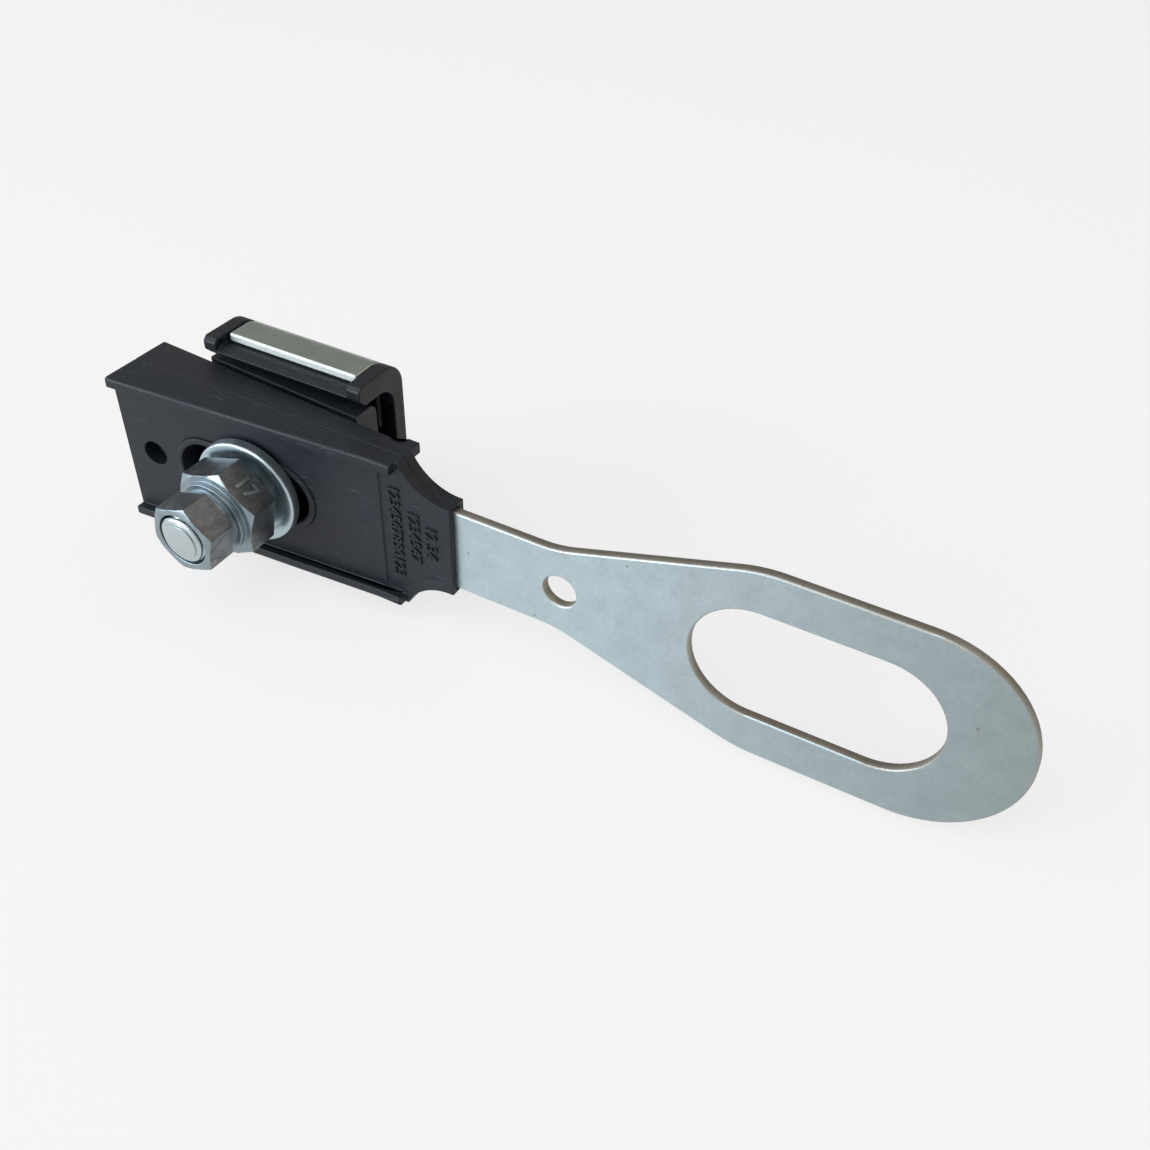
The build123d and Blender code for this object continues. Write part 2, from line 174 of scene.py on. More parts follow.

# %% [markdown]
# Both halves of the body and both jaws are injection-moulded from a weather-resistant, glass-filled black
# polyamide. Such a moulding has a very dark base, a fine spark-eroded grain of about a third of a
# millimetre, cloudy changes of gloss where the melt flowed, and pale scuffs from handling. Its IOR is
# about 1.53 and its roughness about 0.5. The grain and the flow go into the bump, the flow also sets
# the tone and the roughness, and the scuffs lighten the colour.

# %% Black moulded polyamide
def black_polyamide(name, dark, light, gloss):
    """Glass-filled black polyamide: dark and light are its tones, gloss its mean roughness."""
    material, tree, place = start_material(name)
    flow = add_node(tree, "ShaderNodeTexNoise",
                    {"Scale": per(9), "Detail": 4.0, "Roughness": 0.6, "Distortion": 0.6}, {"Vector": place})
    grain = add_node(tree, "ShaderNodeTexNoise",
                     {"Scale": per(0.35), "Detail": 3.0, "Roughness": 0.6}, {"Vector": place})
    streaks = add_node(tree, "ShaderNodeMapping", {"Scale": (0.12, 1.0, 1.0), "Rotation": (0, 0.2, 0)},
                       {"Vector": place})
    scratches = add_node(tree, "ShaderNodeTexNoise",
                         {"Scale": per(0.45), "Detail": 2.0, "Roughness": 0.5},
                         {"Vector": streaks.outputs["Vector"]})
    patches = add_node(tree, "ShaderNodeMapRange",
                       {"From Min": 0.42, "From Max": 0.62}, {"Value": flow.outputs["Fac"]})
    marks = add_node(tree, "ShaderNodeMapRange",
                     {"From Min": 0.62, "From Max": 0.76}, {"Value": scratches.outputs["Fac"]})
    scuffs = add_node(tree, "ShaderNodeMath", {"operation": "MULTIPLY"},
                      {0: patches.outputs["Result"], 1: marks.outputs["Result"]})
    tone = add_node(tree, "ShaderNodeMix", {"data_type": "RGBA", 6: linear(dark), 7: linear(light)},
                    {0: flow.outputs["Fac"]})
    worn = add_node(tree, "ShaderNodeMix", {"data_type": "RGBA", 7: linear("#3a3f45")},
                    {0: scuffs.outputs["Value"], 6: tone.outputs[2]})
    rough = add_node(tree, "ShaderNodeMapRange",
                     {"From Min": 0.3, "From Max": 0.7, "To Min": gloss - 0.06, "To Max": gloss + 0.08},
                     {"Value": flow.outputs["Fac"]})
    bump = add_node(tree, "ShaderNodeBump", {"Strength": 0.6, "Distance": 0.07 * mm},
                    {"Height": grain.outputs["Fac"]})
    sink = add_node(tree, "ShaderNodeBump", {"Strength": 0.3, "Distance": 0.15 * mm},
                    {"Height": flow.outputs["Fac"], "Normal": bump.outputs["Normal"]})
    surface = add_node(tree, "ShaderNodeBsdfPrincipled", {"IOR": 1.53, "Specular IOR Level": 0.32},
                       {"Base Color": worn.outputs[2], "Roughness": rough.outputs["Result"],
                        "Normal": sink.outputs["Normal"]})
    add_node(tree, "ShaderNodeOutputMaterial", links={"Surface": surface.outputs["BSDF"]})
    return material


body_polyamide = black_polyamide("black_polyamide_body", "#090d13", "#1a2028", 0.5)
jaw_polyamide = black_polyamide("black_polyamide_jaw", "#0a0f14", "#131920", 0.5)
pin_polyamide = black_polyamide("black_polyamide_pin", "#0b0e12", "#12161b", 0.5)
print("polymers:", body_polyamide.name, jaw_polyamide.name, pin_polyamide.name)

# %% [markdown]
# The strap and the jaw's stiffener are cold-rolled steel sheet with a thin, clear-passivated zinc
# plating. Up close the plating is a satin, slightly bluish grey with a fine pickled grain, cloudy tones a
# few millimetres wide, a few dark pinholes and hair scratches along the strap. It is a metal, so its
# metallic is 1 and its colour is that of the reflection.

# %% Zinc-plated sheet steel
def plated_sheet(name, low, high, dull, mean_roughness):
    """Zinc-plated rolled sheet: low and high are the tones of its clouds, the third colour is painted shade
    towards +X.
    """
    material, tree, place = start_material(name)
    clouds = add_node(tree, "ShaderNodeTexNoise",
                      {"Scale": per(5), "Detail": 6.0, "Roughness": 0.65, "Distortion": 0.3},
                      {"Vector": place})
    pickling = add_node(tree, "ShaderNodeTexNoise",
                        {"Scale": per(0.4), "Detail": 3.0, "Roughness": 0.7}, {"Vector": place})
    along = add_node(tree, "ShaderNodeMapping", {"Scale": (0.03, 1.0, 1.0), "Rotation": (0, 0.06, 0)},
                     {"Vector": place})
    hairs = add_node(tree, "ShaderNodeTexNoise", {"Scale": per(0.3), "Detail": 1.0},
                     {"Vector": along.outputs["Vector"]})
    scratches = add_node(tree, "ShaderNodeMapRange",
                         {"From Min": 0.7, "From Max": 0.8}, {"Value": hairs.outputs["Fac"]})
    holes = add_node(tree, "ShaderNodeTexVoronoi", {"Scale": per(6.5), "Randomness": 1.0},
                     {"Vector": place})
    pinholes = add_node(tree, "ShaderNodeMapRange",
                        {"From Min": 0.02, "From Max": 0.05, "To Min": 0.7, "To Max": 0.0},
                        {"Value": holes.outputs["Distance"]})
    mottle = add_node(tree, "ShaderNodeTexNoise", {"Scale": per(0.9), "Detail": 4.0, "Roughness": 0.75},
                      {"Vector": place})
    mixed = add_node(tree, "ShaderNodeMix", {"data_type": "FLOAT", 0: 0.55},
                     {2: clouds.outputs["Fac"], 3: mottle.outputs["Fac"]})
    share = add_node(tree, "ShaderNodeMapRange", {"From Min": 0.3, "From Max": 0.7},
                     {"Value": mixed.outputs[0]})
    tone = add_node(tree, "ShaderNodeMix", {"data_type": "RGBA", 6: linear(low), 7: linear(high)},
                    {0: share.outputs["Result"]})
    axes = add_node(tree, "ShaderNodeSeparateXYZ", links={"Vector": place})
    # Painted shade: from X = -40 mm to X = 36 mm the tone is multiplied more and more by the third colour, so
    # the sheet darkens towards the eye's end.
    wear = add_node(tree, "ShaderNodeMapRange", {"From Min": -40 * mm, "From Max": 36 * mm},
                    {"Value": axes.outputs["X"]})
    worn = add_node(tree, "ShaderNodeMix", {"data_type": "RGBA", "blend_type": "MULTIPLY", 7: linear(dull)},
                    {0: wear.outputs["Result"], 6: tone.outputs[2]})
    pitted = add_node(tree, "ShaderNodeMix", {"data_type": "RGBA", 7: linear("#6f6a62")},
                      {0: pinholes.outputs["Result"], 6: worn.outputs[2]})
    rough = add_node(tree, "ShaderNodeMapRange",
                     {"From Min": 0.3, "From Max": 0.7, "To Min": mean_roughness - 0.05,
                      "To Max": mean_roughness + 0.05}, {"Value": clouds.outputs["Fac"]})
    fine = add_node(tree, "ShaderNodeBump", {"Strength": 0.25, "Distance": 0.02 * mm},
                    {"Height": pickling.outputs["Fac"]})
    cut = add_node(tree, "ShaderNodeBump", {"Strength": 0.3, "Distance": 0.02 * mm, "invert": True},
                   {"Height": scratches.outputs["Result"], "Normal": fine.outputs["Normal"]})
    surface = add_node(tree, "ShaderNodeBsdfPrincipled", {"Metallic": 1.0},
                       {"Base Color": pitted.outputs[2], "Roughness": rough.outputs["Result"],
                        "Normal": cut.outputs["Normal"]})
    add_node(tree, "ShaderNodeOutputMaterial", links={"Surface": surface.outputs["BSDF"]})
    return material


# The strap's third colour is painted shade that darkens it towards the eye. The stiffener's is white and
# changes nothing.
strap_zinc = plated_sheet("zinc_plated_strap", "#adbec4", "#c4d3d8", "#d3d0cc", 0.42)
stiffener_zinc = plated_sheet("zinc_plated_stiffener", "#8f9890", "#aab4ab", "#ffffff", 0.34)
print("sheets:", strap_zinc.name, stiffener_zinc.name)

# %% [markdown]
# The strap is blanked from sheet in a press. Its cut edge has a smooth burnished band where the punch
# entered and a rough, brownish fracture band below, with fine lines across the thickness. The lines run
# along Y, so the noise is stretched along Y and stays fine along the outline. The stiffener's front edge
# has the same lines, but its two tones are near white and it is less of a mirror: a painted highlight.

# %% Blanked sheet edges
def blanked_edge(name, brown, grey, metal):
    """The press-cut edge of plated sheet: brown is its fracture tone, grey its burnished tone."""
    material, tree, place = start_material(name)
    across = add_node(tree, "ShaderNodeMapping", {"Scale": (1.0, 0.12, 1.0)}, {"Vector": place})
    lines = add_node(tree, "ShaderNodeTexNoise", {"Scale": per(0.5), "Detail": 4.0, "Roughness": 0.7},
                     {"Vector": across.outputs["Vector"]})
    patches = add_node(tree, "ShaderNodeTexNoise", {"Scale": per(14), "Detail": 3.0}, {"Vector": place})
    axes = add_node(tree, "ShaderNodeSeparateXYZ", links={"Vector": place})
    depth = add_node(tree, "ShaderNodeMapRange",
                     {"From Min": -strap_half_t * mm, "From Max": 0.1 * mm}, {"Value": axes.outputs["Y"]})
    torn = add_node(tree, "ShaderNodeMath", {"operation": "MULTIPLY_ADD", 1: 0.7, 2: -0.1},
                    {0: depth.outputs["Result"]})
    share = add_node(tree, "ShaderNodeMath", {"operation": "MULTIPLY_ADD", 1: 0.8},
                     {0: patches.outputs["Fac"], 2: torn.outputs["Value"]})
    share.use_clamp = True
    tone = add_node(tree, "ShaderNodeMix", {"data_type": "RGBA", 6: linear(grey), 7: linear(brown)},
                    {0: share.outputs["Value"]})
    lined = add_node(tree, "ShaderNodeMix", {"data_type": "RGBA", "blend_type": "MULTIPLY", 0: 0.35},
                     {6: tone.outputs[2], 7: lines.outputs["Fac"]})
    bump = add_node(tree, "ShaderNodeBump", {"Strength": 0.5, "Distance": 0.08 * mm},
                    {"Height": lines.outputs["Fac"]})
    surface = add_node(tree, "ShaderNodeBsdfPrincipled", {"Metallic": metal, "Roughness": 0.5},
                       {"Base Color": lined.outputs[2], "Normal": bump.outputs["Normal"]})
    add_node(tree, "ShaderNodeOutputMaterial", links={"Surface": surface.outputs["BSDF"]})
    return material


strap_edge = blanked_edge("blanked_strap_edge", "#8d867b", "#c4c6be", 0.9)
# Painted highlight: the stiffener's front edge gets two near-white tones and little metal, so it stays
# bright.
stiffener_edge = blanked_edge("stiffener_edge_painted_highlight", "#dfe7e4", "#f3f8f7", 0.35)
print("edges:", strap_edge.name, stiffener_edge.name)

# %% [markdown]
# The nut is turned and then plated. Its end faces are faced on a lathe, so they are light and carry fine
# rings around the bolt's axis. Its flats keep the drawn skin of the hexagonal bar: darker, brownish and
# lined along the axis. The washer and the bolt's end are plated bright. One function makes these turned
# finishes and another the drawn flats.

# %% Turned and drawn zinc-plated steel
def turned_zinc(name, low, high, roughness, ring_mm, ring_depth_mm):
    """Faced or turned plated steel with rings of a given spacing around the bolt's axis."""
    material, tree, place = start_material(name)
    centred = add_node(tree, "ShaderNodeMapping", {"Location": (-bolt_x * mm, 0, 0)}, {"Vector": place})
    rings = add_node(tree, "ShaderNodeTexWave",
                     {"wave_type": "RINGS", "rings_direction": "Y", "Scale": per(ring_mm) / 20,
                      "Distortion": 1.2, "Detail": 2.0, "Detail Scale": 3.0},
                     {"Vector": centred.outputs["Vector"]})
    clouds = add_node(tree, "ShaderNodeTexNoise", {"Scale": per(2.5), "Detail": 5.0, "Roughness": 0.65},
                      {"Vector": place})
    tone = add_node(tree, "ShaderNodeMix", {"data_type": "RGBA", 6: linear(low), 7: linear(high)},
                    {0: clouds.outputs["Fac"]})
    rough = add_node(tree, "ShaderNodeMapRange",
                     {"From Min": 0.3, "From Max": 0.7, "To Min": roughness - 0.06,
                      "To Max": roughness + 0.06}, {"Value": clouds.outputs["Fac"]})
    bump = add_node(tree, "ShaderNodeBump", {"Strength": 0.4, "Distance": ring_depth_mm * mm},
                    {"Height": rings.outputs["Fac"]})
    surface = add_node(tree, "ShaderNodeBsdfPrincipled", {"Metallic": 1.0},
                       {"Base Color": tone.outputs[2], "Roughness": rough.outputs["Result"],
                        "Normal": bump.outputs["Normal"]})
    add_node(tree, "ShaderNodeOutputMaterial", links={"Surface": surface.outputs["BSDF"]})
    return material


def drawn_flats(name, dark, light):
    """The drawn skin of hexagonal bar, plated: brownish grey with lines along the axis."""
    material, tree, place = start_material(name)
    along = add_node(tree, "ShaderNodeMapping", {"Scale": (1.0, 0.08, 1.0)}, {"Vector": place})
    lines = add_node(tree, "ShaderNodeTexNoise", {"Scale": per(0.3), "Detail": 4.0, "Roughness": 0.7},
                     {"Vector": along.outputs["Vector"]})
    stains = add_node(tree, "ShaderNodeTexNoise", {"Scale": per(3.5), "Detail": 5.0, "Roughness": 0.7},
                      {"Vector": place})
    share = add_node(tree, "ShaderNodeMath", {"operation": "MULTIPLY_ADD", 1: 0.5},
                     {0: lines.outputs["Fac"], 2: stains.outputs["Fac"]})
    spread = add_node(tree, "ShaderNodeMapRange", {"From Min": 0.5, "From Max": 1.0},
                      {"Value": share.outputs["Value"]})
    tone = add_node(tree, "ShaderNodeMix", {"data_type": "RGBA", 6: linear(dark), 7: linear(light)},
                    {0: spread.outputs["Result"]})
    bump = add_node(tree, "ShaderNodeBump", {"Strength": 0.35, "Distance": 0.06 * mm},
                    {"Height": share.outputs["Value"]})
    surface = add_node(tree, "ShaderNodeBsdfPrincipled", {"Metallic": 1.0, "Roughness": 0.42},
                       {"Base Color": tone.outputs[2], "Normal": bump.outputs["Normal"]})
    add_node(tree, "ShaderNodeOutputMaterial", links={"Surface": surface.outputs["BSDF"]})
    return material


nut_faced = turned_zinc("faced_zinc_nut", "#76848a", "#a3b0b5", 0.42, 0.35, 0.012)
nut_drawn = drawn_flats("drawn_zinc_flats", "#54565a", "#84888b")
washer_zinc = turned_zinc("bright_zinc_washer", "#a3b4ba", "#c2d1d5", 0.36, 0.5, 0.01)
# Painted shade: the washer's side gets darker tones than its front, and more roughness.
washer_side = turned_zinc("zinc_washer_side_painted_shade", "#8d9aa0", "#a6b2b8", 0.5, 0.5, 0.01)
bolt_zinc = turned_zinc("bright_zinc_bolt", "#b0babd", "#c6d0d2", 0.3, 0.4, 0.004)
print("turned:", nut_faced.name, nut_drawn.name, washer_zinc.name, bolt_zinc.name)

# %% [markdown]
# Every piece made here ends the same way. Its mesh gets one finish and smooth shading up to a certain
# angle between faces, and its object is linked to the scene and rides on a body of the mechanism. Two
# small functions do that. A piece that stands for an imported node hides that node.

# %% Helpers for pieces
def closed_mesh(build, name, finish, sharp_degrees):
    """Turns a bmesh into a mesh with one finish, shaded smooth up to an angle between faces."""
    mesh = bpy.data.meshes.new(name)
    bmesh.ops.recalc_face_normals(build, faces=build.faces)
    build.to_mesh(mesh)
    build.free()
    mesh.materials.append(finish)
    mesh.shade_smooth()
    mesh.set_sharp_from_angle(angle=math.radians(sharp_degrees))
    return mesh


def riding_piece(mesh, node):
    """An object for a mesh, on the body that carries a node."""
    piece = bpy.data.objects.new(mesh.name, mesh)
    bpy.context.scene.collection.objects.link(piece)
    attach(piece, body_of[node])
    return piece


print("bodies:", sorted(set(body_of.values())))

# %% [markdown]
# No real edge is as sharp as a solid's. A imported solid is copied, corners closer than 0.08 mm are welded,
# its flat faces are joined, and a bevel modifier rounds every edge by a real amount: 0.15 to 0.3 mm on a
# moulding, 0.45 mm on the tumbled and plated strap and 0.6 mm on the folded stiffener. A bevel that is
# clamped stops at its shortest edge, and a solid with round corners has very short edges. That is why the
# corners are welded first and the clamp is off.

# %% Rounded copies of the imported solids
weld_mm = 0.08
flat_degrees = 0.6
edge_degrees = 25


def rounded_copy(node, name, edge_mm, finish):
    """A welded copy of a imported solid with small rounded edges, shown in its place."""
    mesh = bpy.data.meshes.new(name)
    build = bmesh.new()
    build.from_mesh(frame["nodes"][node].data)
    bmesh.ops.remove_doubles(build, verts=build.verts, dist=weld_mm * mm)
    bmesh.ops.dissolve_degenerate(build, edges=build.edges, dist=weld_mm * mm)
    bmesh.ops.dissolve_limit(build, angle_limit=math.radians(flat_degrees),
                             verts=build.verts, edges=build.edges)
    build.to_mesh(mesh)
    build.free()
    for layer in [a for a in mesh.attributes if a.name == "custom_normal"]:
        mesh.attributes.remove(layer)
    mesh.materials.clear()
    mesh.materials.append(finish)
    mesh.polygons.foreach_set("material_index", [0] * len(mesh.polygons))
    mesh.shade_smooth()
    mesh.set_sharp_from_angle(angle=math.radians(edge_degrees))
    piece = riding_piece(mesh, node)
    rounding = piece.modifiers.new("rounded_edges", "BEVEL")
    rounding.width = edge_mm * mm
    rounding.segments = 3
    rounding.limit_method = "ANGLE"
    rounding.angle_limit = math.radians(edge_degrees)
    rounding.harden_normals = True
    rounding.use_clamp_overlap = False
    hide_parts(node)
    return piece


front_shell = rounded_copy("front_shell", "front_shell_moulding", 0.22, body_polyamide)
rear_shell = rounded_copy("rear_shell", "rear_shell_moulding", 0.16, body_polyamide)
inner_jaw = rounded_copy("inner_jaw", "inner_jaw_moulding", 0.15, jaw_polyamide)
outer_jaw = rounded_copy("outer_jaw", "outer_jaw_moulding", 0.3, jaw_polyamide)
locating_pin = rounded_copy("locating_pin", "locating_pin_moulding", 0.3, pin_polyamide)
stiffener = rounded_copy("jaw_stiffener", "jaw_stiffener_folded", 0.6, stiffener_zinc)
strap = rounded_copy("hanger_strap", "hanger_strap_plated", 0.45, strap_zinc)
nut = rounded_copy("shear_nut", "shear_nut_turned", 0.15, nut_faced)
for piece in (front_shell, rear_shell, inner_jaw, outer_jaw, locating_pin, stiffener, strap, nut):
    print(piece.name, len(piece.data.polygons), "faces before rounding")

# %% [markdown]
# The strap's edges, the nut's flats and the stiffener's front edges have a finish of their own. A face of
# the strap belongs to the edge when it doesn't look along Y. A face of the nut belongs to the flats when
# it looks straight away from the axis, lies outside the thread and isn't on the collar between the two
# hexagons. The stiffener's front edges are its faces that look along -Y, in front of its back wall.

# %% Second finishes by face
def finish_faces(piece, finish, chosen):
    """Gives the faces that chosen(centre, normal) picks a second finish, and counts them."""
    piece.data.materials.append(finish)
    slot_number = len(piece.data.materials) - 1
    count = 0
    for polygon in piece.data.polygons:
        if chosen(polygon.center, polygon.normal):
            polygon.material_index = slot_number
            count += 1
    return count


def on_flats(centre, normal):
    """True on a flat of the wrench hexagon or of the shear head."""
    radius = math.hypot(centre.x - bolt_x * mm, centre.z)
    on_collar = abs(centre.y - nut_collar_y * mm) <= nut_collar_half_l * mm
    return abs(normal.y) < 0.2 and radius > flat_inner_r * mm and not on_collar


def on_front_edge(centre, normal):
    """True on a face of the stiffener that looks forward and lies in front of its back wall."""
    return normal.y < -0.5 and centre.y < stiffener_wall_y * mm


print("strap edge faces:", finish_faces(strap, strap_edge, lambda centre, normal: abs(normal.y) < 0.5))
print("nut flat faces:", finish_faces(nut, nut_drawn, on_flats))
# The stiffener's forward faces get the painted highlight.
print("stiffener edge faces:", finish_faces(stiffener, stiffener_edge, on_front_edge))

# %% [markdown]
# The moulded slot in the front half has a raised rim, a band 1.3 mm wide that stands about half a
# millimetre proud of the web, and the washer slides on it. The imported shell's slot is wider by this band.
# A band is one small cross-section carried around the slot's outline, two half circles and two straights.
# Its front follows the wedge and stays 0.05 mm short of the washer, and its outside reaches 0.05 mm into
# the shell, so that no slit shows.

# %% Slot rim
def slot_outline(grow, steps=24):
    """Points (x, z) in millimetres around the slot, moved outwards by grow."""
    radius = slot_width / 2 + grow
    points = []
    for side in (1, -1):
        centre = slot_middle_x + side * (slot_length - slot_width) / 2
        for i in range(steps + 1):
            turn = math.radians(-90 * side + 180 * i / steps)
            points.append((centre + radius * math.cos(turn), radius * math.sin(turn)))
    return points


def rim_front_y(x, rise):
    """Y of the web's wedge face plus a rise, from the web's half thickness at the bolt."""
    return -(web_half_t + rise - math.tan(math.radians(wedge_angle)) * (x - bolt_x))


rim_edge = 0.3
rim_edge_cut = 0.3 * rim_edge
rim_overlap = 0.05
rim_section = [
    (slot_rim_width + rim_overlap, None),
    (slot_rim_width + rim_overlap, slot_rim_rise - rim_edge),
    (slot_rim_width + rim_overlap - rim_edge_cut, slot_rim_rise - rim_edge_cut),
    (slot_rim_width - rim_edge, slot_rim_rise),
    (rim_edge, slot_rim_rise),
    (rim_edge_cut, slot_rim_rise - rim_edge_cut),
    (0.0, slot_rim_rise - rim_edge),
    (0.0, None),
]
rim_build = bmesh.new()
rim_rings = []
for grow, rise in rim_section:
    ring = []
    for x, z in slot_outline(grow):
        y = -slot_rim_depth if rise is None else rim_front_y(x, rise)
        ring.append(rim_build.verts.new((x * mm, y * mm, z * mm)))
    rim_rings.append(ring)
for first, second in zip(rim_rings, rim_rings[1:] + rim_rings[:1]):
    for i in range(len(first)):
        j = (i + 1) % len(first)
        rim_build.faces.new((first[i], first[j], second[j], second[i]))
rim_mesh = closed_mesh(rim_build, "slot_rim_moulding", body_polyamide, 40)
slot_rim = riding_piece(rim_mesh, "front_shell")
print("slot rim faces:", len(slot_rim.data.polygons))

# %% [markdown]
# The washer and the bolt are round, so they are turned here as on a lathe: a profile of radius and
# distance along the axis is swept once around. The washer is a thick spring washer. Its outer rim is
# rounded, and its front face dishes in towards the bore, which makes the dark recess inside a bright ring.
# It leans with the wedge, because it slides on the body's raised rim. Its side is rougher than its front and
# painted darker, as painted shade.

# %% A lathe
def turned(name, profile, steps, finish):
    """A mesh swept around the Y axis from (radius, y) points in millimetres."""
    build = bmesh.new()
    rings = []
    for radius, along in profile:
        ring = []
        for i in range(steps):
            turn = 2 * math.pi * i / steps
            corner = (radius * math.cos(turn) * mm, along * mm, radius * math.sin(turn) * mm)
            ring.append(build.verts.new(corner))
        rings.append(ring)
    for first, second in zip(rings, rings[1:]):
        for i in range(steps):
            j = (i + 1) % steps
            build.faces.new((first[i], first[j], second[j], second[i]))
    bmesh.ops.remove_doubles(build, verts=build.verts, dist=0.001 * mm)
    bmesh.ops.dissolve_degenerate(build, edges=build.edges, dist=0.001 * mm)
    return closed_mesh(build, name, finish, 32)


def rounded_corner(radius, along, size, start, end, steps=6):
    """Points of a rounded corner around a centre, from one angle to another in degrees."""
    points = []
    for i in range(steps + 1):
        turn = math.radians(start + (end - start) * i / steps)
        points.append((radius + size * math.cos(turn), along + size * math.sin(turn)))
    return points


# %% Spring washer
# From the back of the bore around the rounded rim, over the flat land and down the dish to the bore.
washer_front = -washer_t
washer_profile = [(washer_bore_r, 0.0), (washer_r - 0.2, 0.0), (washer_r, -0.2)]
washer_corner_r = washer_r - washer_edge_r
washer_profile += rounded_corner(washer_corner_r, washer_front + washer_edge_r, washer_edge_r, 0, -90)
washer_profile += [
    (washer_corner_r - 0.6, washer_front + 0.04),
    (washer_corner_r - washer_land, washer_front + 0.2),
    (washer_corner_r - washer_land - 0.5, washer_front + washer_dish),
    (washer_bore_r + 0.2, washer_front + washer_dish + 0.1),
    (washer_bore_r, washer_front + washer_dish + 0.3),
    (washer_bore_r, 0.0),
]
washer_mesh = turned("spring_washer_dished", washer_profile, 96, washer_zinc)
washer_place = Matrix.Translation((bolt_x * mm, washer_seat_y * mm, 0))
washer_lean = Matrix.Rotation(math.radians(wedge_angle), 4, "Z")
washer_mesh.transform(washer_place @ washer_lean)
washer = riding_piece(washer_mesh, "spring_washer")
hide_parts("spring_washer")


def on_washer_side(centre, normal):
    """True on the washer's cylindrical outside, without its rounded front corner."""
    return abs(normal.y) < 0.3 and math.hypot(centre.x - bolt_x * mm, centre.z) > (washer_r - 0.3) * mm


print("washer side faces:", finish_faces(washer, washer_side, on_washer_side))
print("washer faces:", len(washer.data.polygons))

# %% [markdown]
# The bolt is an M10 bolt with a pitch of 1.5 mm. Its core is turned, with a chamfered end that stands a
# little proud of the shear head, a square neck that keeps it from turning in the jaw, and a low domed
# head. Its thread is a strip with a V profile that winds around the core, one pitch forward for each
# turn. Its crest is held down at both ends, so it fades into the end chamfer and into the plain shank.

# %% Bolt
end_face_r = bolt_crest_r - 0.95
head_points = []
for degrees in range(0, 91, 9):
    turn = math.radians(degrees)
    head_points.append((bolt_head_r * math.cos(turn),
                        jaw_back_y + bolt_head_rim + (bolt_head_h - bolt_head_rim) * math.sin(turn)))
# From the middle of the end face over its small step and chamfer, then the core, the shank and the head.
bolt_profile = [
    (0.0, bolt_end_y),
    (end_face_r - 0.6, bolt_end_y),
    (end_face_r - 0.3, bolt_end_y + 0.12),
    (end_face_r - 0.25, bolt_end_y + 0.4),
    (end_face_r + 0.1, bolt_end_y + 0.42),
    (end_face_r + 0.6, bolt_end_y + 0.7),
    (end_face_r + 0.7, bolt_end_y + 1.0),
    (bolt_root_r, bolt_end_y + 1.3),
    (bolt_root_r, thread_start_y - 0.8),
    (bolt_crest_r, thread_start_y),
    (bolt_crest_r, jaw_back_y - square_neck_l),
    (bolt_crest_r, jaw_back_y),
    (bolt_head_r, jaw_back_y),
] + head_points
bolt_mesh = turned("clamp_bolt_turned", bolt_profile, 64, bolt_zinc)
bolt_mesh.transform(Matrix.Translation((bolt_x * mm, 0, 0)))
bolt = riding_piece(bolt_mesh, "clamp_bolt")
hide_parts("clamp_bolt")
print("bolt faces:", len(bolt.data.polygons))


# %% Thread
# The V profile: shares of one pitch along the axis, and of the thread's height.
thread_profile = [(0.0, 0.0), (0.38, 1.0), (0.5, 1.0), (0.88, 0.0)]
thread_sink = 0.05


def winding_thread(name, steps=40):
    """The V thread of the bolt as one winding strip."""
    build = bmesh.new()
    turns = (thread_start_y - 0.5 - bolt_end_y) / thread_pitch
    rows = []
    for i in range(int(turns * steps) + 1):
        turn = 2 * math.pi * i / steps
        row = []
        for part, height in thread_profile:
            along = bolt_end_y - 0.4 + thread_pitch * (i / steps + part)
            crest = min(bolt_crest_r, end_face_r + max(0.0, along - bolt_end_y))
            crest = min(crest, bolt_root_r + max(0.0, thread_start_y - along) * 0.8)
            radius = bolt_root_r - thread_sink + height * max(0.0, crest - bolt_root_r + thread_sink)
            along = max(along, bolt_end_y + 0.75)
            row.append(build.verts.new((bolt_x * mm + radius * math.cos(turn) * mm, along * mm,
                                        radius * math.sin(turn) * mm)))
        rows.append(row)
    for first, second in zip(rows, rows[1:]):
        for j in range(len(thread_profile) - 1):
            build.faces.new((first[j], second[j], second[j + 1], first[j + 1]))
    return riding_piece(closed_mesh(build, name, bolt_zinc, 35), "clamp_bolt")


thread = winding_thread("clamp_bolt_thread")
print("thread faces:", len(thread.data.polygons))

# %% Square neck
neck_edge = 0.6
neck_mesh = bpy.data.meshes.new("clamp_bolt_neck")
neck_build = bmesh.new()
neck_place = Matrix.Translation((bolt_x * mm, (jaw_back_y - square_neck_l / 2) * mm, 0))
neck_size = Matrix.Diagonal((square_neck * mm, square_neck_l * mm, square_neck * mm, 1))
bmesh.ops.create_cube(neck_build, size=1.0, matrix=neck_place @ neck_size)
bmesh.ops.bevel(neck_build, geom=neck_build.edges[:], offset=neck_edge * mm, segments=3, affect="EDGES")
neck_build.to_mesh(neck_mesh)
neck_build.free()
neck_mesh.materials.append(bolt_zinc)
neck = riding_piece(neck_mesh, "clamp_bolt")
print("neck faces:", len(neck.data.polygons))

# %% [markdown]
# The conductors are held by moulded grip ridges. On the outer jaw they stand on the back wall of the
# channel, every 3.7 mm, and follow its rounded corner onto the roof, where they get lower, so that they
# clear the inner jaw when the clamp closes. On the inner jaw they are straight and lower, and stand
# between the outer ones. Both leave room beside the bolt. A ridge is one rounded cross-section carried
# along a path, so one function makes them all in a single mesh for each jaw.

# %% Grip ridges
# Shares of the ridge's width and of its height. The foot is sunk a little into the wall.
ridge_section = [(-0.5, -0.1), (-0.42, 0.55), (-0.2, 0.92), (0.0, 1.0),
                 (0.2, 0.92), (0.42, 0.55), (0.5, -0.1)]


